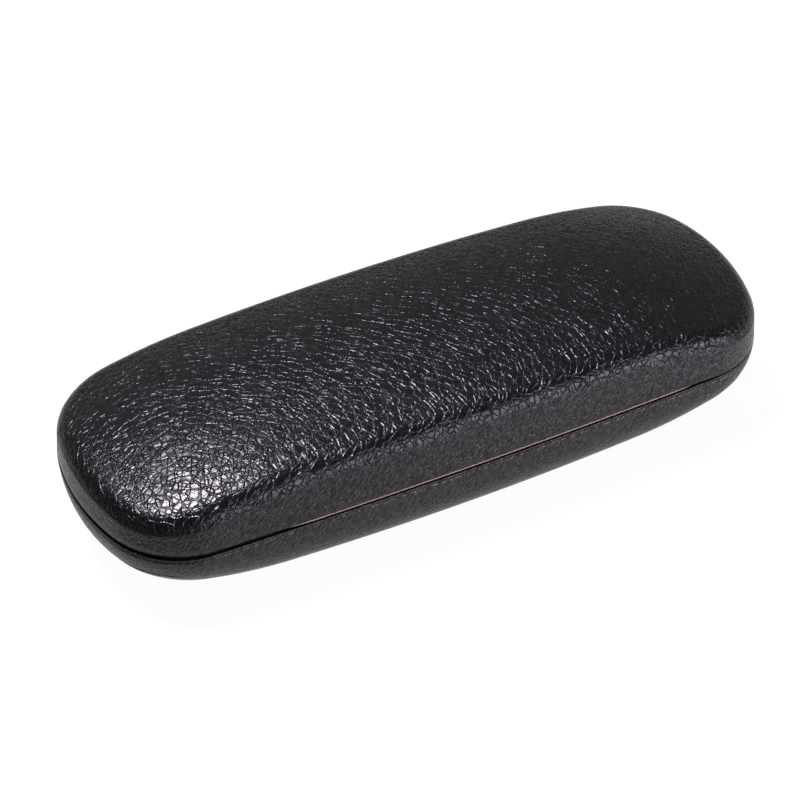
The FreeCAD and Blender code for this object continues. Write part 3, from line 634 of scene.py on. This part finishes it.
def lining():
    """Napped fabric, browner inside, with a painted highlight that makes it paler where it folds at the seam.
    """
    material, tree, shader = new_material("copper_brown_lining")
    coords = object_place(tree)
    pile = noise(tree, coords, 0.18, 3.0, 0.7)["Fac"]
    nap = noise(tree, stretched(tree, coords, (0.6, 1.0, 1.0)), 0.9, 4.0, 0.6)["Fac"]
    shade = noise(tree, coords, 18.0, 3.0)["Fac"]
    colour = mix_colour(tree, ramp(tree, nap, 0.3, 0.7), (0.17, 0.083, 0.06), (0.26, 0.138, 0.105))
    colour = mix_colour(tree, ramp(tree, shade, 0.35, 0.7, 0.0, 0.4), colour, (0.31, 0.18, 0.145))
    # painted highlight: the lining turns paler near the seam, standing in for the light caught by the fold
    # there
    from_seam = maths(tree, "ABSOLUTE", maths(tree, "SUBTRACT", part_of(tree, coords, "Z"), SEAM * MM))
    folded = ramp(tree, from_seam, 0.6 * MM, 1.8 * MM, 1.0, 0.0)
    colour = mix_colour(tree, folded, colour, (0.35, 0.225, 0.195))
    normal = bump(tree, pile, 0.08, 0.8, bump(tree, nap, 0.12, 0.5))
    set_inputs(tree, shader, Base_Color=colour, Roughness=ramp(tree, nap, 0.3, 0.7, 0.72, 0.9),
               Sheen_Weight=0.5, Sheen_Roughness=0.4, Sheen_Tint=(0.95, 0.85, 0.82, 1), Normal=normal)
    return material


def foam_material():
    material, tree, shader = new_material("grey_foam")
    coords = object_place(tree)
    cells = creases(tree, coords, 0.6, 0.35)
    colour = mix_colour(tree, noise(tree, coords, 6.0)["Fac"], (0.20, 0.20, 0.19), (0.30, 0.29, 0.27))
    set_inputs(tree, shader, Base_Color=colour, Roughness=between(tree, cells, 1.0, 0.85),
               Normal=bump(tree, cells, 0.15, 0.8))
    return material


def board_material():
    material, tree, shader = new_material("collar_board")
    coords = object_place(tree)
    fibres = noise(tree, stretched(tree, coords, (0.2, 0.2, 1.0)), 0.35, 4.0, 0.7)["Fac"]
    shade = noise(tree, coords, 8.0)["Fac"]
    colour = mix_colour(tree, ramp(tree, fibres, 0.3, 0.7), (0.018, 0.016, 0.015), (0.035, 0.031, 0.029))
    colour = mix_colour(tree, times(tree, shade, 0.3), colour, (0.05, 0.044, 0.04))
    set_inputs(tree, shader, Base_Color=colour, Roughness=ramp(tree, fibres, 0.3, 0.7, 0.65, 0.85),
               Normal=bump(tree, fibres, 0.05, 0.6))
    return material


def metal(name, light, dark, rough, brush):
    """Brushed metal with tarnish and fine scratches, brushed along the axis whose factor is smallest."""
    material, tree, shader = new_material(name)
    coords = object_place(tree)
    brushed = noise(tree, stretched(tree, coords, brush), 0.12, 3.0, 0.6)["Fac"]
    tarnish = noise(tree, coords, 3.5, 4.0, 0.65)["Fac"]
    spots = noise(tree, coords, 0.5)["Fac"]
    colour = mix_colour(tree, ramp(tree, tarnish, 0.45, 0.75), light, dark)
    dull = plus(tree, ramp(tree, brushed, 0.3, 0.7, *rough), ramp(tree, spots, 0.55, 0.75, 0.0, 0.12))
    normal = bump(tree, tarnish, 0.02, 0.4, bump(tree, brushed, 0.006, 0.6))
    set_inputs(tree, shader, Base_Color=colour, Metallic=1.0, Roughness=dull, Normal=normal)
    return material


def paint(piece, material):
    piece.data.materials.clear()
    piece.data.materials.append(material)


def soften(piece, width_mm):
    """Rounds a metal part's edges and keeps its flat faces flat."""
    made = piece.modifiers.new("rounded_edges", "BEVEL")
    made.width = width_mm * MM
    made.segments = 2
    made.limit_method = "ANGLE"
    made.angle_limit = math.radians(40)
    made.harden_normals = True
    made.use_clamp_overlap = True


# ---------------------------------------------------------------- pieces

def stand_for(piece, cad_node, material):
    """Gives a new piece its material and lets it stand for a CAD node."""
    paint(piece, material)
    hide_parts(cad_node)


leather_look = leather()
lining_look = lining()
foam_look = foam_material()

for bowl in (LID, BASE):
    cover = leather_cover(bowl)
    grain_modifier(cover)
    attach(cover, bowl.name)
    stand_for(cover, bowl.name + "_cover", leather_look)

    pad = foam(bowl)
    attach(pad, bowl.name)
    stand_for(pad, bowl.name + "_padding", foam_look)

for piece, body in ((lid_lining(), "lid"), (base_lining(), "base")):
    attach(piece, body)
    stand_for(piece, body + "_liner", lining_look)

ring = collar()
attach(ring, "base")
stand_for(ring, "base_collar", board_material())

spring_look = metal("spring_steel", (0.62, 0.63, 0.66), (0.36, 0.37, 0.42), (0.18, 0.3), (1.0, 0.2, 0.2))
for cad_node in ("snap_spring_left", "snap_spring_right"):
    spring = snap_spring(cad_node)
    stand_for(spring, cad_node, spring_look)
    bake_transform(spring)

shell_look = metal("shell_steel", (0.50, 0.50, 0.50), (0.30, 0.29, 0.28), (0.35, 0.5), (0.2, 1.0, 1.0))
hinge_look = metal("hinge_steel", (0.60, 0.59, 0.57), (0.40, 0.39, 0.37), (0.22, 0.36), (0.15, 1.0, 1.0))
rivet_look = metal("rivet_steel", (0.66, 0.65, 0.63), (0.45, 0.44, 0.42), (0.2, 0.32), (1.0, 1.0, 1.0))
for look, names in ((shell_look, ("lid_shell", "base_shell")),
                    (hinge_look, ("lid_hinge_leaf", "base_hinge_leaf", "hinge_pin")),
                    (rivet_look, ("lid_rivets", "base_rivets"))):
    for name in names:
        paint(frame["nodes"][name], look)
        if look is not shell_look:
            soften(frame["nodes"][name], 0.08)


# ---------------------------------------------------------------- floor, light and camera, metres

def floor():
    """Pale floor just below the case. The camera sees it evenly lit; the leather sees it fade to the left."""
    half, depth = 3000.0, 0.1
    corners = ((-half, -half), (half, -half), (half, half), (-half, half))
    made = add_mesh("floor", np.array([(x, y, -depth) for x, y in corners]), [[0, 1, 2, 3]])
    material, tree, shader = new_material("pale_floor")
    tint = noise(tree, object_place(tree), 60.0)["Fac"]
    seen = node(tree, "ShaderNodeLightPath").outputs["Is Camera Ray"]
    place = node(tree, "ShaderNodeNewGeometry").outputs["Position"]
    reflected = ramp(tree, part_of(tree, place, "X"), -0.14, -0.08, 0.08, 0.68)
    glow = node(tree, "ShaderNodeMix", Factor=seen, i2=reflected, i3=0.96).outputs[0]
    set_inputs(tree, shader, Base_Color=mix_colour(tree, tint, (0.05, 0.05, 0.05), (0.06, 0.06, 0.06)),
               Roughness=0.9, Specular_IOR_Level=0.0, Emission_Color=(1, 1, 1, 1), Emission_Strength=glow)
    paint(made, material)


def aim(name, data, place, towards):
    """Adds a light or camera at a place, looking along a direction."""
    made = bpy.data.objects.new(name, data)
    bpy.context.scene.collection.objects.link(made)
    made.location = place
    made.rotation_mode = "QUATERNION"
    made.rotation_quaternion = towards.to_track_quat("-Z", "Y")
    return made


def softbox(name, place, target, width, height, power):
    light = bpy.data.lights.new(name, "AREA")
    light.shape = "RECTANGLE"
    light.size, light.size_y = width, height
    light.energy = power
    aim(name, light, place, Vector(target) - Vector(place))


def surroundings():
    """Dim room for reflections, lighter towards the rear right at middle height; the camera sees white."""
    world = bpy.data.worlds.new("studio")
    world.use_nodes = True
    tree = world.node_tree
    seen = node(tree, "ShaderNodeLightPath").outputs["Is Camera Ray"]
    towards = node(tree, "ShaderNodeTexCoord").outputs["Generated"]
    up = part_of(tree, towards, "Z")
    lit = times(tree, ramp(tree, up, 0.0, 0.6, 0.28, 1.0), ramp(tree, up, 0.65, 0.95, 1.0, 0.0))
    lit = times(tree, lit, ramp(tree, part_of(tree, towards, "Y"), -0.5, 0.4))
    lit = times(tree, lit, ramp(tree, part_of(tree, towards, "X"), -0.8, 0.0, 0.1, 1.0))
    room = mix_colour(tree, lit, (0.06, 0.06, 0.065), (0.37, 0.37, 0.38))
    set_inputs(tree, tree.nodes["Background"], Color=mix_colour(tree, seen, room, (1, 1, 1)), Strength=1.0)
    bpy.context.scene.world = world


def camera():
    """Looks at the middle of the seam from the front left, through a long lens."""
    turn, rise, distance = math.radians(-27.82), math.radians(40.30), 0.7431
    back = Vector((math.sin(turn) * math.cos(rise), -math.cos(turn) * math.cos(rise), math.sin(rise)))
    data = bpy.data.cameras.new("camera")
    data.sensor_width = 36.0
    data.lens = 152.73
    data.shift_x, data.shift_y = -0.01575, -0.01588
    data.clip_start = 0.01
    bpy.context.scene.camera = aim("camera", data, Vector((0, 0, SEAM * MM)) + back * distance, -back)


floor()
surroundings()
softbox("key", (-0.15, 0.11, 0.64), (-0.06, -0.015, 0.03), 0.21, 0.21, 10.4)
softbox("front", (0.42, -0.78, 0.21), (0.02, 0.0, 0.03), 0.9, 0.34, 8.6)
camera()
bpy.context.scene.view_settings.view_transform = "Standard"
